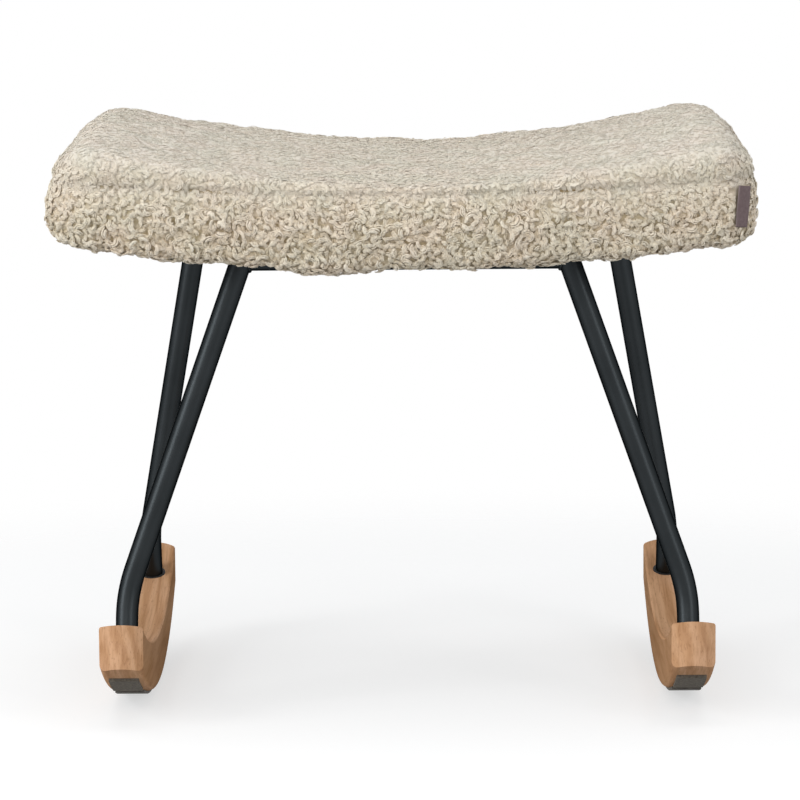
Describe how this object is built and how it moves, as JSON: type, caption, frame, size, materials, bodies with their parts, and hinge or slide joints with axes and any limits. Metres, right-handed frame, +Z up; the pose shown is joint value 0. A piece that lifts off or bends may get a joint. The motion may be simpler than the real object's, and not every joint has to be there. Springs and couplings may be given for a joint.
{
  "type": "rocking footstool",
  "caption": "Low rocking footstool: a dished, curly-fabric cushion on bent black steel tubes that stand in curved wooden rockers.",
  "frame": {"origin": "on the floor, under the middle of the stool's box", "axes": "+Z up, +X to the sitter's right, the lower front edge of the cushion at -Y"},
  "size_m": [0.58, 0.408, 0.503],
  "materials": {
    "beech_wood": "matt lacquer",
    "black_steel": "satin powder coat",
    "curly_fabric": "curly pile",
    "tab_fabric": "woven, plain",
    "dust_fabric": "thin non-woven",
    "foam": "polyurethane foam",
    "plywood": "raw bent plywood",
    "zinc_steel": "zinc plated",
    "felt": "pressed felt",
    "rubber": "matt"
  },
  "bodies": {
    "root": {"left_rocker": "beech_wood", "right_rocker": "beech_wood", "left_floor_strip": "rubber", "right_floor_strip": "rubber", "left_end_pads": "felt", "right_end_pads": "felt", "front_left_leg": "black_steel", "front_right_leg": "black_steel", "rear_left_leg": "black_steel", "rear_right_leg": "black_steel", "front_cross_tube": "black_steel", "rear_cross_tube": "black_steel", "front_left_plate": "black_steel", "front_right_plate": "black_steel", "rear_left_plate": "black_steel", "rear_right_plate": "black_steel", "leg_plugs": "zinc_steel", "socket_rings": "rubber", "rocker_bolts": "zinc_steel", "rocker_washers": "zinc_steel", "seat_bolts": "zinc_steel", "seat_washers": "zinc_steel", "tee_nuts": "zinc_steel", "seat_board": "plywood", "dust_cloth": "dust_fabric", "seat_foam": "foam", "cover_top_panel": "curly_fabric", "cover_side_band": "curly_fabric", "label_tab": "tab_fabric"}
  },
  "joints": []
}
